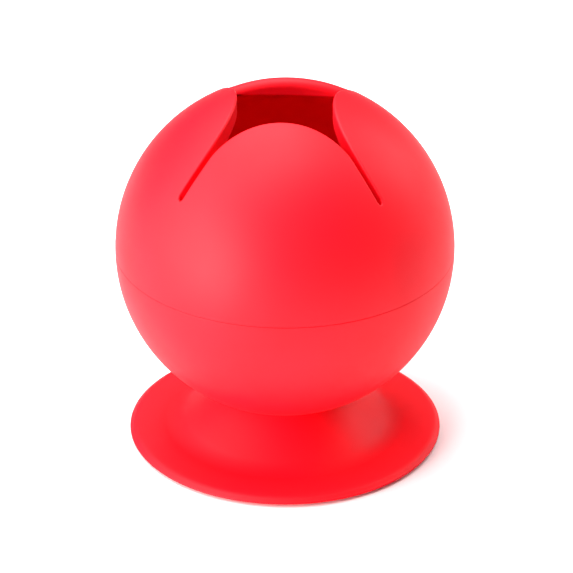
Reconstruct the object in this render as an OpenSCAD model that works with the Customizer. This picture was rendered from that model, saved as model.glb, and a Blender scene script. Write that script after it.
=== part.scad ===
// Soft desk-top debris ball: a hollow two-part ball with a mouth and a wiper tongue, on a suction foot.
// Millimetres, +Z up, origin in the middle of the foot's underside, the mouth's tongue towards -Y.

/* [Ball] */
// Outside diameter of the ball
ball_d = 70; // [56:1:90]
// Thickness of the ball's wall
wall = 3.8; // [3:0.1:5]
// Height of the middle of the ball above the bench
ball_height = 43; // [38:0.5:52]
// Length of the plug ring that holds the dome in the bowl
plug_len = 3; // [2:0.5:5]
// Thickness of the plug ring
plug_t = 1.5; // [1:0.1:2]

/* [Mouth] */
// Distance between the two lips where they are closest
mouth_gap = 19.45; // [14:0.05:24]
// Radius of the curve of each lip in front of its narrowest place, seen from above
lip_r = 22.1; // [19:0.1:26]
// Radius of the curve of each lip behind its narrowest place, seen from above
flare_r = 30; // [24:0.5:40]
// How far behind the middle the mouth's back edge lies
mouth_back = 15.5; // [10:0.5:18]
// Width of the slit beside the tongue
slit_w = 1.15; // [0.6:0.05:2]
// How far round the lip's curve the slit runs, in degrees below the sideways line
slit_turn = 56.8; // [52:0.1:60]

/* [Tongue] */
// Radius of the tongue's round end, seen from above
tongue_r = 21.65; // [20:0.05:24]
// Distance of the tongue's end in front of the middle of the ball
tongue_tip = 10.4; // [8:0.1:12]
// Clearance left where the tongue bends
bend_gap = 0.35; // [0.3:0.05:0.6]

/* [Foot] */
// Diameter of the suction foot
foot_d = 65.6; // [50:0.2:80]
// Radius of the neck where it meets the ball
neck_r = 11.5; // [10.5:0.1:13]
// Radius at which the flat of the foot begins to rise towards the neck
flat_r = 25.5; // [23:0.1:28]
// Thickness of the foot just inside its thin edge
rim_t = 1.8; // [1.4:0.1:2.4]
// Radius of the stud that the ball turns on
stud_r = 4; // [3:0.1:5]
// Radius of the stud's mushroom head
head_r = 7; // [6:0.1:8]

/* [Hidden] */
$fn = 96;
// running fit between parts that slide or turn on each other
fit = 0.06;
r_out = ball_d / 2;
r_in = r_out - wall;
lip_x = mouth_gap / 2 + lip_r;
flare_x = mouth_gap / 2 + flare_r;
lip_y = -0.65;
slit_mid = lip_r + slit_w / 2;
slit_x = lip_x - slit_mid * cos(slit_turn);
slit_y = lip_y - slit_mid * sin(slit_turn);
// height where the tongue's edge passes from its round end to the slits
join_y = -17;
// lowest height of the upright cuts through the dome
cut_low = 8;
foot_r = foot_d / 2;
core_r = 10;
// top of the foot: a flat, a small hollow of radius hollow_r and a straight cone up to the neck
flat_z = 2.2;
hollow_r = 8;
neck_z = ball_height - sqrt(r_out * r_out - neck_r * neck_r);
hollow_c = [flat_r, flat_z + hollow_r];
to_neck = [neck_r, neck_z] - hollow_c;
cone_turn = atan2(to_neck[1], to_neck[0]) + acos(hollow_r / norm(to_neck));
cone_foot = hollow_c + (hollow_r - 0.03) * [cos(cone_turn), sin(cone_turn)];
// thin edge of the rim, just off the bench
tip_r = 0.3;
tip_z = 0.85;
floor_z = ball_height - r_in + 1.6;
red = [0.86, 0.07, 0.1];
deep_red = [0.72, 0.03, 0.07];

// both lips as seen from above: two arcs each, which meet where the mouth is narrowest
module lips(grow = 0) {
  for (s = [-1, 1]) {
    intersection() {
      translate([s * lip_x, lip_y]) circle(r = lip_r + grow);
      translate([-60, lip_y - 60]) square([120, 60]);
    }
    intersection() {
      translate([s * flare_x, lip_y]) circle(r = flare_r + grow);
      translate([-60, lip_y]) square([120, 60]);
    }
  }
}

// the whole opening between the lips, down to the slit ends
module opening_2d() {
  difference() {
    union() {
      translate([-16, slit_y + 3]) square([32, mouth_back - 3 - slit_y - 3]);
      translate([-13, 0]) square([26, mouth_back]);
      for (s = [-1, 1]) translate([s * 13, mouth_back - 3]) circle(r = 3);
      translate([-21.5, slit_y]) square([43, 6]);
    }
    lips();
  }
  for (s = [-1, 1]) translate([s * slit_x, slit_y]) circle(r = slit_w / 2);
}

// the tongue seen from above: a round end that runs into the inner edges of the slits
module tongue_2d() {
  difference() {
    intersection() {
      union() {
        translate([0, -tongue_tip - tongue_r]) circle(r = tongue_r);
        translate([-20, slit_y - 2]) square([40, join_y - slit_y + 2]);
      }
      translate([-25, slit_y + bend_gap]) square([50, 20]);
    }
    lips(slit_w);
  }
}

module shell() {
  difference() {
    sphere(r = r_out);
    sphere(r = r_in);
  }
}

// flexible flared disc of the suction cup
module suction_skirt() {
  color(deep_red)
  difference() {
    rotate_extrude() {
      difference() {
        union() {
          polygon([
            [core_r + 0.3, 3], [28.5, 0], [foot_r - 1.7, 0], [foot_r - 0.9, 0.25],
            [foot_r - tip_r, tip_z - tip_r], [foot_r - tip_r, tip_z + tip_r],
            [foot_r - 0.9, rim_t - 0.2], [foot_r - 1.7, rim_t],
            [flat_r, flat_z], cone_foot, [neck_r, neck_z], [core_r + 0.3, neck_z + 1]
          ]);
          translate([foot_r - tip_r, tip_z]) circle(r = tip_r);
        }
        translate(hollow_c) circle(r = hollow_r);
      }
    }
    translate([0, 0, ball_height]) sphere(r = r_out + fit);
  }
}

// firm middle of the suction cup with the mushroom stud that holds the ball
module cup_hub() {
  color(deep_red) {
    difference() {
      translate([0, 0, 3.4]) cylinder(r = core_r, h = neck_z - 2.5);
      translate([0, 0, ball_height]) sphere(r = r_out + fit);
    }
    translate([0, 0, 6]) cylinder(r = stud_r, h = floor_z + 1 - 6);
    translate([0, 0, floor_z + fit]) cylinder(r = head_r, h = 1.2);
    translate([0, 0, floor_z + fit + 1.2]) cylinder(r1 = head_r, r2 = head_r - 2.6, h = 1.4);
  }
}

// lower half of the ball, with a seat for the plug ring and a bored floor
module lower_bowl() {
  color(red)
  translate([0, 0, ball_height])
  difference() {
    intersection() {
      sphere(r = r_out);
      translate([-r_out - 1, -r_out - 1, -r_out - 1]) cube([2 * r_out + 2, 2 * r_out + 2, r_out + 1]);
    }
    difference() {
      sphere(r = r_in);
      translate([0, 0, -r_out]) cylinder(r = 9.5, h = r_out - ball_height + floor_z);
    }
    translate([0, 0, -plug_len - 0.1]) cylinder(r = r_in + plug_t + fit, h = plug_len + 1);
    translate([0, 0, -r_out - 1]) cylinder(r = stud_r + fit, h = 12);
  }
}

// upper half of the ball, with the mouth, the slits and the plug ring
module upper_dome() {
  color(red)
  translate([0, 0, ball_height])
  difference() {
    union() {
      intersection() {
        sphere(r = r_out);
        translate([-r_out - 1, -r_out - 1, 0.03]) cube([2 * r_out + 2, 2 * r_out + 2, r_out + 1]);
      }
      translate([0, 0, -plug_len]) cylinder(r = r_in + plug_t, h = plug_len + 1);
    }
    sphere(r = r_in);
    translate([0, 0, cut_low]) linear_extrude(r_out) opening_2d();
    // relief under the back edge of the mouth, where the wall thins towards the corners
    intersection() {
      rotate([0, 90, 0]) cylinder(r = r_in - 0.1, h = 26, center = true);
      translate([0, mouth_back - 2, 0]) cylinder(r = 11.5, h = r_out);
    }
  }
}

// springy tongue in front of the mouth, between the two slits
module wiper_tongue() {
  color(red)
  translate([0, 0, ball_height])
  intersection() {
    shell();
    translate([0, 0, cut_low]) linear_extrude(r_out) tongue_2d();
  }
}

suction_skirt();
cup_hub();
lower_bowl();
upper_dome();
wiper_tongue();
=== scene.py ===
import math
import bmesh
import bpy
from mathutils import Vector, Matrix
from mathutils.geometry import delaunay_2d_cdt


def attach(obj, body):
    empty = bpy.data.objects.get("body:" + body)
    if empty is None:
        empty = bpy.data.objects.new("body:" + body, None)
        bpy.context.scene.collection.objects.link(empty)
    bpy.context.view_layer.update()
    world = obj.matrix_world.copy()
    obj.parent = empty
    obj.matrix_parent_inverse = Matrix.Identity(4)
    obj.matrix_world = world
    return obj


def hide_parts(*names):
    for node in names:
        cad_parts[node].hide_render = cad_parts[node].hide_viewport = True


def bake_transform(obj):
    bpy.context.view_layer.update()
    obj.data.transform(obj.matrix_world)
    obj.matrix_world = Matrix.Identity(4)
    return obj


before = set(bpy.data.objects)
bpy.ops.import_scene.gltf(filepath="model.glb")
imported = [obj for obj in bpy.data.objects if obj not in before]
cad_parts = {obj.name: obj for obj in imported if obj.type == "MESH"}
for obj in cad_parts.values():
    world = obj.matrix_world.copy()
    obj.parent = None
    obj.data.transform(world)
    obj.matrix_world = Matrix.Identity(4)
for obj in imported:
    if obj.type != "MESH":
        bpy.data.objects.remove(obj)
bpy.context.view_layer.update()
MM = 0.001

# sizes in millimetres, as in the CAD model; the ball's middle is the local origin
# ball: outside, wall, inside, and the height of its middle above the bench
R = 35.0
WALL = 3.8
RI = R - WALL
ZC = 43.0
# mouth: gap where the lips are closest, the two arcs of each lip in front of and behind that place
GAP = 19.45
LIP_R = 22.1
FLARE_R = 30.0
LIP_Y = -0.65
LIP = Vector((GAP / 2 + LIP_R, LIP_Y))
FLARE = Vector((GAP / 2 + FLARE_R, LIP_Y))
BACK = 15.5
CORNER = 2.4
# slits: width, and where they end on the front arcs
SLIT = 1.15
TURN = math.radians(180 + 56.8)
# tongue: its end in front of the ball's middle, its round end, the curve from that into a slit
TIP = 10.4
TON_R = 21.65
JOIN_R = 9.0
# edges: rounded outside at the slits and at the mouth's back, rounded inside all round
SLIT_EDGE = 0.32
BACK_EDGE = 1.6
INNER_EDGE = 0.3
# relief under the mouth's back edge: how far it reaches, and where it stops growing deeper
RELIEF_FRONT = 4
RELIEF_BACK = 27
RELIEF_SIDE = 19
RELIEF_HALF = 11.5
# plug ring between dome and bowl, height of the dome's lower edge, floor and bore of the bowl, running fit
PLUG_L = 3.0
PLUG_R = RI + 1.5
SEAM_Z = 0.03
FLOOR_Z = -29.6
BORE_R = 4.06
FIT = 0.06
# foot
NECK_R = 11.5
FOOT_R = 32.8
FLAT_R = 25.5
FLAT_Z = 2.2
HOLLOW_R = 8.0
RIM_T = 1.8
TIP_R = 0.3
# fineness: steps along the outlines, and divisions round the ball and the foot
ARC_STEP = 0.35
SMALL_STEP = 0.3
BALL_TURNS = 360
FOOT_TURNS = 256


def unit(a):
    return Vector((math.cos(a), math.sin(a)))


def arc(centre, radius, a0, a1, step, inward):
    """Points along an arc with their normals into the material: inward is -1 if the material is on the centre's side."""
    n = max(2, int(abs(a1 - a0) * radius / step + 0.5))
    out = []
    for i in range(n + 1):
        d = unit(a0 + (a1 - a0) * i / n)
        out.append((centre + d * radius, d * inward))
    return out


def smooth(t):
    t = max(0.0, min(1.0, t))
    return t * t * (3 - 2 * t)


def relief(x, y):
    """How far the inner skin is raised under the mouth's back edge, where the wall thins towards the corners."""
    if y < RELIEF_FRONT or y > RELIEF_BACK or abs(x) > RELIEF_SIDE:
        return 0.0
    d = math.sqrt(RI * RI - min(abs(x), RELIEF_HALF) ** 2)
    depth = 0.85 * (RI - d)
    depth *= smooth((y - RELIEF_FRONT) / 7)
    depth *= smooth((RELIEF_BACK - y) / 9)
    depth *= smooth((RELIEF_SIDE - abs(x)) / 7)
    return depth


def inner(x, y):
    """Height of the dome's inner skin over a place in plan, with its normal into the cavity."""

    def z(x, y):
        return math.sqrt((RI + relief(x, y)) ** 2 - x * x - y * y)

    h = 0.02
    along_x = (z(x + h, y) - z(x - h, y)) / (2 * h)
    along_y = (z(x, y + h) - z(x, y - h)) / (2 * h)
    return z(x, y), Vector((along_x, along_y, -1)).normalized()


# ---- outlines seen from above, right half, each point with its normal into the material and its outer edge radius


def lip_side():
    """Dome's edge from the tongue side of the right slit's end, round it, up the lip and along the back to the middle."""
    d = unit(TURN)
    t = Vector((-d.y, d.x))
    mid = LIP + d * (LIP_R + SLIT / 2)
    pts = []
    n = 14
    for i in range(n + 1):
        b = math.pi * i / n
        w = d * math.cos(b) + t * math.sin(b)
        pts.append((mid + w * (SLIT / 2), w, SLIT_EDGE))
    xk = FLARE.x - math.sqrt((FLARE_R + CORNER) ** 2 - (BACK - CORNER - FLARE.y) ** 2)
    k = Vector((xk, BACK - CORNER))
    to_lip = math.atan2(FLARE.y - k.y, FLARE.x - k.x)
    lip = arc(LIP, LIP_R, TURN, math.pi, ARC_STEP, -1)
    lip += arc(FLARE, FLARE_R, math.pi, math.pi + to_lip, ARC_STEP, -1)[1:]
    for p, m in lip[1:]:
        pts.append((p, m, SLIT_EDGE + 0.13 * smooth((p.y + 19.5) / 6) + 0.3 * smooth((p.y - 5) / 7)))
    corner = arc(k, CORNER, to_lip, math.pi / 2, SMALL_STEP, 1)
    for i, (p, m) in enumerate(corner[1:]):
        pts.append((p, m, 0.75 + 0.85 * smooth((i + 1) / (len(corner) - 1))))
    n = int(xk / 0.45)
    for i in range(1, n + 1):
        pts.append((Vector((xk * (1 - i / n), BACK)), Vector((0, 1)), BACK_EDGE))
    return pts


def tongue_side():
    """Tongue's edge from the same point of the right slit up to the middle of the tongue's round end."""
    end = Vector((0, -TIP - TON_R))
    # an arc that joins the slit's inner edge to the round end without a corner
    ra, rb = LIP_R + SLIT + JOIN_R, TON_R - JOIN_R
    axis = end - LIP
    dist = axis.length
    u = axis / dist
    v = Vector((-u.y, u.x))
    along = (dist * dist + ra * ra - rb * rb) / (2 * dist)
    off = math.sqrt(max(ra * ra - along * along, 0.0))
    q = max((LIP + u * along + v * s * off for s in (1, -1)), key=lambda c: c.y)
    a_lip = math.atan2(q.y - LIP.y, q.x - LIP.x) % (2 * math.pi)
    a_ton = math.atan2(q.y - end.y, q.x - end.x)
    pts = arc(LIP, LIP_R + SLIT, TURN, a_lip, ARC_STEP, 1)
    pts += arc(q, JOIN_R, a_lip - math.pi, a_ton, SMALL_STEP, -1)[1:]
    pts += arc(end, TON_R, a_ton, math.pi / 2, ARC_STEP, -1)[1:]
    return [(p, m, SLIT_EDGE + 0.12 * smooth((p.y + 19.5) / 6)) for p, m in pts]


def mirror(pts):
    """The left half, so that the whole runs from the right slit over the middle to the left slit."""
    return pts + [(Vector((-p.x, p.y)), Vector((-m.x, m.y)), r) for p, m, r in reversed(pts[:-1])]


# ---- a shell piece: sphere outside, sphere inside, upright cut walls with rounded edges


class Build:
    def __init__(self):
        self.v, self.n, self.f, self.flat = [], [], [], []

    def add(self, p, n):
        self.v.append(Vector(p))
        self.n.append(Vector(n).normalized())
        return len(self.v) - 1

    def face(self, ids, flat=None):
        """A face that looks the way its points' normals do, or, for a flat cut, the way given."""
        ids = [i for k, i in enumerate(ids) if i != ids[k - 1]]
        if len(ids) < 3:
            return
        look = flat or sum((self.n[i] for i in ids), Vector())
        turn = Vector()
        for i in range(1, len(ids) - 1):
            turn += (self.v[ids[i]] - self.v[ids[0]]).cross(self.v[ids[i + 1]] - self.v[ids[0]])
        self.f.append(ids if turn.dot(look) > 0 else ids[::-1])
        self.flat.append(flat is not None)

    def strip(self, a, b, flat=None):
        """Quads between two rows of points of the same length."""
        for i in range(len(a) - 1):
            self.face([a[i], a[i + 1], b[i + 1], b[i]], flat)

    def mesh(self, name, material):
        me = bpy.data.meshes.new(name)
        me.from_pydata([(p + Vector((0, 0, ZC))) * MM for p in self.v], [], self.f)
        # every face of the closed mesh faces outwards
        bm = bmesh.new()
        bm.from_mesh(me)
        bmesh.ops.recalc_face_normals(bm, faces=bm.faces)
        bm.to_mesh(me)
        bm.free()
        me.polygons.foreach_set("use_smooth", [True] * len(self.f))
        loops = []
        for poly, flat in zip(me.polygons, self.flat):
            for vi in poly.vertices:
                loops.append(tuple(poly.normal) if flat else tuple(self.n[vi]))
        me.normals_split_custom_set(loops)
        me.materials.append(material)
        ob = bpy.data.objects.new(name, me)
        bpy.context.scene.collection.objects.link(ob)
        return ob


def column(b, p, m, r):
    """Points down one upright cut: from the outer sphere round the edge, down the wall and round to the inner sphere."""
    ids = []
    c = p + m * r
    c = Vector((c.x, c.y, math.sqrt((R - r) ** 2 - c.length_squared)))
    wall = Vector((-m.x, -m.y, 0))
    out = c.normalized()
    for i in range(7):
        d = out.slerp(wall, i / 6)
        ids.append(b.add(c + d * r, d))
    # the inner edge's small circle touches both the wall and the inner skin
    ci = q = p + m * INNER_EDGE
    for _ in range(3):
        z, down = inner(q.x, q.y)
        q = ci + Vector((down.x, down.y)) * INNER_EDGE
    ci = Vector((ci.x, ci.y, z - down.z * INNER_EDGE))
    for i in range(1, 5):
        ids.append(b.add((p.x, p.y, c.z + (ci.z - c.z) * i / 5), wall))
    for i in range(4):
        d = wall.slerp(down, i / 3)
        ids.append(b.add(ci + d * INNER_EDGE, d))
    return ids


def flatten(p):
    """Sphere point to the flat chart in which the skins are divided into triangles."""
    s = math.hypot(p.x, p.y)
    a = math.atan2(s, p.z)
    return Vector((0, 0)) if s < 1e-9 else Vector((p.x, p.y)) * (a * R / s)


def lift(q, radius):
    """Back from the flat chart to a sphere of the given radius."""
    s = q.length
    a = s / R
    if s < 1e-9:
        return Vector((0, 0, radius))
    return Vector((q.x / s * math.sin(a), q.y / s * math.sin(a), math.cos(a))) * radius


def skin(b, loops, radius, inside, sign, step):
    """Fills the area between closed loops of existing points with even triangles.

    With sign 1 new points lie on the sphere, with sign -1 on the dome's inner skin.
    """
    pts, ids, edges = [], [], []

    def place(q):
        w = lift(q, radius)
        if sign > 0:
            return b.add(w, w)
        z, down = inner(w.x, w.y)
        return b.add((w.x, w.y, z), down)

    for loop in loops:
        s = len(pts)
        for i, v in enumerate(loop):
            pts.append(flatten(b.v[v]))
            ids.append(v)
            edges.append((s + i, s + (i + 1) % len(loop)))
    rim = [p.copy() for p in pts]
    cell = {}
    for p in rim:
        cell.setdefault((int(p.x // 1), int(p.y // 1)), []).append(p)
    far = max(p.length for p in pts)
    rows = int(far / (step * 0.866)) + 1
    for j in range(-rows, rows + 1):
        y = j * step * 0.866
        for i in range(-rows - 2, rows + 3):
            q = Vector(((i + 0.5 * (j % 2)) * step, y))
            if q.length > far or not inside(q):
                continue
            near = [
                p
                for cx in (-1, 0, 1)
                for cy in (-1, 0, 1)
                for p in cell.get((int(q.x // 1) + cx, int(q.y // 1) + cy), ())
            ]
            if any((p - q).length < 0.45 * step for p in near):
                continue
            pts.append(q)
            ids.append(place(q))
    out_v, _, out_f, orig, _, _ = delaunay_2d_cdt(pts, edges, [], 0, 1e-7)
    new = []
    for i, q in enumerate(out_v):
        new.append(ids[orig[i][0]] if orig[i] else place(q))
    for tri in out_f:
        mid = sum((out_v[i] for i in tri), Vector((0, 0))) / len(tri)
        if inside(mid):
            b.face([new[i] for i in tri])


def in_loop(poly):
    """Test for a point in a closed outline of the flat chart, quickened by rows."""
    rows = {}
    n = len(poly)
    for i in range(n):
        p, q = poly[i], poly[(i + 1) % n]
        for k in range(int(math.floor(min(p.y, q.y))), int(math.floor(max(p.y, q.y))) + 1):
            rows.setdefault(k, []).append((p, q))

    def test(c):
        hit = False
        for p, q in rows.get(int(math.floor(c.y)), ()):
            if (p.y > c.y) != (q.y > c.y) and c.x < p.x + (c.y - p.y) * (q.x - p.x) / (q.y - p.y):
                hit = not hit
        return hit

    return test


def root_rows(b, first, last):
    """The bend line across the tongue's root, on the outer and the inner skin, from one column to the other."""
    rows = []
    n = 56
    for k, radius, sign in ((0, R, 1), (-1, RI, -1)):
        ids = []
        for i in range(1, n):
            p = b.v[first[k]].lerp(b.v[last[k]], i / n)
            w = Vector((p.x, p.y, math.sqrt(radius * radius - p.x * p.x - p.y * p.y)))
            ids.append(b.add(w, w * sign))
        rows.append(ids)
    return rows


def root_cap(b, first, last, over, under, look):
    """Closes the cross-section at the tongue's root; look is 1 or -1, the way it faces along Y."""
    look = Vector((0, look, 0))
    b.strip([first[0]] + over + [last[0]], [first[-1]] + under + [last[-1]], look)
    b.face(first, look)
    b.face(last, look)


def ring(b, radius, z, n, normal):
    """One turn of points about Z; the normal is given as (outwards, upwards)."""
    ids = []
    for i in range(n):
        a = 2 * math.pi * i / n
        c, s = math.cos(a), math.sin(a)
        ids.append(b.add((radius * c, radius * s, z), (normal[0] * c, normal[0] * s, normal[1])))
    return ids


def lathe(b, profile, n):
    """Turns a profile of (radius, z, normal r, normal z) about Z.

    A repeated point with a new normal makes a crisp edge.
    """
    rows = []
    for r, z, nr, nz in profile:
        rows.append(ring(b, r, z, n, (nr, nz)) if r > 1e-6 else [b.add((0, 0, z), (0, 0, nz))] * n)
    for a, c in zip(rows, rows[1:]):
        b.strip(a + a[:1], c + c[:1])
    return rows


def bead(cx, cz, r, a0, a1, n):
    """Points of a round edge in a profile; angles in degrees."""
    out = []
    for i in range(n + 1):
        a = math.radians(a0 + (a1 - a0) * i / n)
        out.append((cx + r * math.cos(a), cz + r * math.sin(a), math.cos(a), math.sin(a)))
    return out


def ball_arc(radius, a0, a1, n, sign=1):
    """Profile along the ball; angles in degrees above the equator."""
    out = []
    for i in range(n + 1):
        a = math.radians(a0 + (a1 - a0) * i / n)
        out.append((radius * math.cos(a), radius * math.sin(a), sign * math.cos(a), sign * math.sin(a)))
    return out


def cut_walls(b, outline, look):
    """The upright cut round an outline, closed across the tongue's root."""
    cols = [column(b, p, m, r) for p, m, r in mirror(outline)]
    for a, c in zip(cols, cols[1:]):
        b.strip(a, c)
    over, under = root_rows(b, cols[-1], cols[0])
    root_cap(b, cols[-1], cols[0], over, under, look)
    return cols, over, under


# degrees above the equator where the dome's turned belt ends and its freely divided top begins
BELT = 32.0
BELT_IN = 19.0


def make_dome(material):
    b = Build()
    cols, over, under = cut_walls(b, lip_side(), 1)
    # the belt, from its top down to the seam, over the plug ring and up inside
    e = 0.1
    se = math.degrees(math.asin((SEAM_Z + e) / (R - e)))
    prof = ball_arc(R, BELT, se, 34)
    prof += bead((R - e) * math.cos(math.radians(se)), SEAM_Z + e, e, se, -90, 6)[1:]
    prof += [(PLUG_R + 0.25, SEAM_Z, 0, -1), (PLUG_R + 0.25, SEAM_Z, 0.7, -0.7), (PLUG_R, -0.22, 1, 0)]
    prof += [(PLUG_R, -1.2, 1, 0), (PLUG_R, -PLUG_L + 0.4, 1, 0)]
    prof += bead(PLUG_R - 0.4, -PLUG_L + 0.4, 0.4, 0, -90, 5)[1:]
    lo = -math.degrees(math.asin((PLUG_L - 0.25) / RI))
    prof += bead((RI + 0.25) * math.cos(math.radians(lo)), -PLUG_L + 0.25, 0.25, -90, -180 + lo, 4)
    prof += ball_arc(RI, lo, BELT_IN, 26, -1)[1:]
    rows = lathe(b, prof, BALL_TURNS)
    # the top, outside and inside, between the belt and the mouth
    for k, root, radius, belt, sign, step in ((0, over, R, BELT, 1, 0.85), (-1, under, RI, BELT_IN, -1, 1.1)):
        hole = [c[k] for c in cols] + root
        open_at = in_loop([flatten(b.v[i]) for i in hole])
        far = math.radians(90 - belt) * R
        skin(b, [hole, rows[k]], radius, lambda q: q.length < far and not open_at(q), sign, step)
    return b.mesh("upper_dome_moulding", material)


def make_tongue(material):
    b = Build()
    cols, over, under = cut_walls(b, tongue_side(), -1)
    for k, root, radius, sign in ((0, over, R, 1), (-1, under, RI, -1)):
        loop = [c[k] for c in cols] + root
        test = in_loop([flatten(b.v[i]) for i in loop])
        skin(b, [loop], radius, test, sign, 0.7)
    return b.mesh("wiper_tongue_moulding", material)


def make_bowl(material):
    b = Build()
    e = 0.14
    lip = BORE_R + 0.4
    bore = -math.degrees(math.acos(lip / R))
    se = math.degrees(math.asin(-e / (R - e)))
    seat = PLUG_R + FIT
    prof = [(BORE_R, FLOOR_Z - 0.4, -1, 0), (BORE_R, -math.sqrt(R * R - BORE_R * BORE_R) + 0.5, -1, 0)]
    prof += bead(lip, -math.sqrt(R * R - lip**2) + 0.4, 0.4, -180, -90, 4)[1:]
    prof += ball_arc(R, bore, se, 110)[1:]
    prof += bead((R - e) * math.cos(math.radians(se)), -e, e, se, 90, 6)[1:]
    prof += [(seat + 0.2, 0, 0, 1), (seat + 0.2, 0, -0.7, 0.7), (seat, -0.2, -1, 0), (seat, -PLUG_L - 0.1, -1, 0)]
    rin = math.sqrt(RI * RI - (PLUG_L + 0.1) ** 2)
    prof += [(seat, -PLUG_L - 0.1, 0, 1), (rin + 0.2, -PLUG_L - 0.1, 0, 1)]
    prof += bead(rin + 0.2, -PLUG_L - 0.3, 0.2, 90, 180, 3)[1:]
    lo = -math.degrees(math.asin(-FLOOR_Z / RI))
    prof += ball_arc(RI, -math.degrees(math.asin((PLUG_L + 0.5) / RI)), lo, 70, -1)
    rf = RI * math.cos(math.radians(lo))
    prof += [(rf, FLOOR_Z, 0, 1), (lip, FLOOR_Z, 0, 1)]
    prof += bead(lip, FLOOR_Z - 0.4, 0.4, 90, 180, 4)[1:]
    lathe(b, prof, BALL_TURNS)
    return b.mesh("lower_bowl_moulding", material)


def make_foot(material):
    b = Build()
    # underside: the recess and the sealing ring
    prof = [(0, 3.4, 0, -1), (9.6, 3.25, 0, -1), (10.6, 2.95, -0.1, -1)]
    prof += [(28.2, 0.1, -0.16, -0.98), (28.9, 0, 0, -1), (30.6, 0, 0.05, -1)]
    # the rim: a thin edge, rounded on top, just off the bench outside the sealing ring
    prof += [(31.5, 0.12, 0.2, -0.98), (32.1, 0.35, 0.45, -0.9)]
    prof += bead(FOOT_R - TIP_R, RIM_T / 2 - 0.05, TIP_R, -58, 58, 8)
    prof += [(32.2, 1.46, 0.62, 0.78), (31.7, 1.73, 0.34, 0.94), (31.1, 1.85, 0.12, 0.99)]
    prof += [(30.2, 1.92, 0.06, 1), (28.0, 2.06, 0.06, 1)]
    # top of the skirt: flat, then a small hollow and a straight cone up to the ball
    neck_z = ZC - math.sqrt(R * R - NECK_R**2)
    ox, oz = FLAT_R, FLAT_Z + HOLLOW_R
    turn_in = math.atan2(neck_z - oz, NECK_R - ox)
    turn_in += math.acos(HOLLOW_R / math.hypot(neck_z - oz, NECK_R - ox))
    a1 = -90
    a2 = math.degrees(turn_in) % 360 - 360
    for i in range(25):
        a = math.radians(a1 + (a2 - a1) * i / 24)
        c, s = math.cos(a), math.sin(a)
        prof.append((ox + HOLLOW_R * c, oz + HOLLOW_R * s, -c, -s))
    bx, bz, nr, nz = prof[-1]
    for i in range(1, 11):
        prof.append((bx + (NECK_R - bx) * i / 10, bz + (neck_z - bz) * i / 10, nr, nz))
    prof += [(10.9, prof[-1][1] + 0.12, 0.3, 1)]
    # the cup under the ball
    for i in range(12):
        r = 10.2 - 5.2 * i / 11
        prof.append((r, ZC - math.sqrt((R + FIT) ** 2 - r * r), -r / R, 1))
    prof = [(r, z - ZC, nr, nz) for r, z, nr, nz in prof]
    # stud and its mushroom head, inside the ball
    prof += [(4.0, -ZC + 8.6, 1, 0), (4.0, FLOOR_Z - 0.2, 1, 0)]
    prof += [(4.4, FLOOR_Z + FIT, 0.6, -0.8), (6.6, FLOOR_Z + FIT, 0, -1)]
    prof += bead(6.5, FLOOR_Z + 0.56, 0.5, -90, 50, 7)[1:]
    prof += [(4.4, FLOOR_Z + 2.3, 0.75, 0.66)]
    prof += bead(3.7, FLOOR_Z + 1.86, 0.8, 50, 90, 4)[1:]
    prof += [(0, FLOOR_Z + 2.66, 0, 1)]
    lathe(b, prof, FOOT_TURNS)
    return b.mesh("suction_cup_moulding", material)


# ---- materials


def silicone(name, colour, seed):
    """Matt silicone with slight clouds in colour and gloss, and a very fine grain."""
    m = bpy.data.materials.new(name)
    m.use_nodes = True
    nt = m.node_tree
    bs = nt.nodes["Principled BSDF"]
    bs.inputs["IOR"].default_value = 1.35
    tc = nt.nodes.new("ShaderNodeTexCoord")
    mp = nt.nodes.new("ShaderNodeMapping")
    mp.inputs["Location"].default_value = (seed, seed * 0.7, seed * 0.3)
    nt.links.new(tc.outputs["Object"], mp.inputs["Vector"])

    def noise(scale, detail, rough):
        n = nt.nodes.new("ShaderNodeTexNoise")
        n.inputs["Scale"].default_value = scale
        n.inputs["Detail"].default_value = detail
        n.inputs["Roughness"].default_value = rough
        nt.links.new(mp.outputs["Vector"], n.inputs["Vector"])
        return n

    def span(src, a, b, lo, hi):
        r = nt.nodes.new("ShaderNodeMapRange")
        r.inputs["From Min"].default_value = a
        r.inputs["From Max"].default_value = b
        r.inputs["To Min"].default_value = lo
        r.inputs["To Max"].default_value = hi
        nt.links.new(src, r.inputs["Value"])
        return r.outputs["Result"]

    cloud = noise(70, 3, 0.5)
    fine = noise(2600, 2, 0.6)
    mix = nt.nodes.new("ShaderNodeMix")
    mix.data_type = "RGBA"
    mix.inputs["A"].default_value = (*colour, 1)
    mix.inputs["B"].default_value = (colour[0] * 0.93, colour[1] * 0.8, colour[2] * 0.8, 1)
    nt.links.new(span(cloud.outputs["Fac"], 0.3, 0.7, 0, 1), mix.inputs["Factor"])
    nt.links.new(mix.outputs["Result"], bs.inputs["Base Color"])
    nt.links.new(span(cloud.outputs["Fac"], 0.25, 0.75, 0.52, 0.6), bs.inputs["Roughness"])
    bump = nt.nodes.new("ShaderNodeBump")
    bump.inputs["Strength"].default_value = 0.12
    bump.inputs["Distance"].default_value = 0.00006
    nt.links.new(fine.outputs["Fac"], bump.inputs["Height"])
    nt.links.new(bump.outputs["Normal"], bs.inputs["Normal"])
    return m


RED = (0.98, 0.0002, 0.012)
ball_mat = silicone("ball_silicone_look", RED, 0.13)
foot_mat = silicone("foot_silicone_look", RED, 0.57)

dome = make_dome(ball_mat)
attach(dome, "dome")
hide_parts("upper_dome")
tongue = make_tongue(ball_mat)
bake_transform(tongue)
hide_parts("wiper_tongue")
bowl = make_bowl(ball_mat)
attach(bowl, "bowl")
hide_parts("lower_bowl")
foot = make_foot(foot_mat)
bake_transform(foot)
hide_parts("suction_skirt", "cup_hub")

# ---- floor, light and camera


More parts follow.
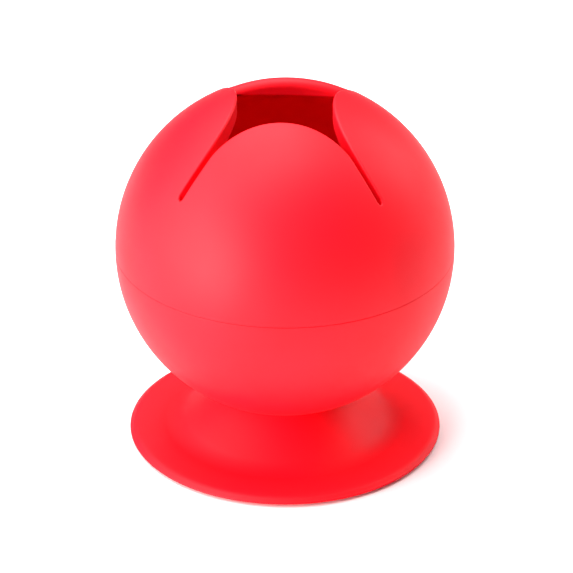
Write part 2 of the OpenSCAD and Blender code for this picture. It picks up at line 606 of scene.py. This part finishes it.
def emitter(name, size, power, place):
    """A rectangular soft light that is aimed at the ball's middle."""
    d = bpy.data.lights.new(name, "AREA")
    d.shape = "RECTANGLE"
    d.size, d.size_y = size
    d.energy = power
    o = bpy.data.objects.new(name, d)
    o.location = place
    o.rotation_euler = (BALL - Vector(place)).to_track_quat("-Z", "Y").to_euler()
    bpy.context.scene.collection.objects.link(o)


floor_mesh = bpy.data.meshes.new("floor")
floor_mesh.from_pydata([(-4, -4, 0), (4, -4, 0), (4, 4, 0), (-4, 4, 0)], [], [(0, 1, 2, 3)])
floor_obj = bpy.data.objects.new("floor", floor_mesh)
bpy.context.scene.collection.objects.link(floor_obj)
fm = bpy.data.materials.new("floor_paint")
fm.use_nodes = True
paint = fm.node_tree.nodes["Principled BSDF"]
paint.inputs["Base Color"].default_value = (0.9, 0.9, 0.9, 1)
paint.inputs["Roughness"].default_value = 0.8
floor_mesh.materials.append(fm)

scene = bpy.context.scene
scene.view_settings.view_transform = "Standard"
world = bpy.data.worlds.new("studio")
scene.world = world
world.use_nodes = True
sky = world.node_tree.nodes["Background"]
sky.inputs["Color"].default_value = (1, 1, 1, 1)
sky.inputs["Strength"].default_value = 0.12

BALL = Vector((0, 0, ZC * MM))
emitter("left_panel", (0.9, 0.75), 10.0, (-0.72, -0.26, 0.4))
emitter("left_key", (0.36, 0.26), 4.8, (-0.47, -0.46, 0.12))
emitter("top_panel", (0.8, 0.8), 12.5, (-0.14, 0.14, 0.8))
emitter("right_back", (0.5, 0.55), 3.4, (0.62, 0.42, 0.44))

# the camera stands in front and looks down at about 28 degrees; the object is turned a little from square
turn = Matrix.Rotation(math.radians(2.6), 3, "Z")
cam_data = bpy.data.cameras.new("camera")
cam_data.lens = 213.1
cam_data.sensor_width = 36.0
cam_data.clip_start, cam_data.clip_end = 0.05, 20
cam = bpy.data.objects.new("camera", cam_data)
scene.collection.objects.link(cam)
scene.camera = cam
fwd = turn @ Vector((0.000454, 0.881115, -0.472902))
up = turn @ Vector((0.000244, 0.472902, 0.881115))
right = fwd.cross(up).normalized()
up = right.cross(fwd)
place = BALL + turn @ Vector((0, -0.62068, 0.32366))
cam.matrix_world = Matrix.Translation(place) @ Matrix((right, up, -fwd)).transposed().to_4x4()
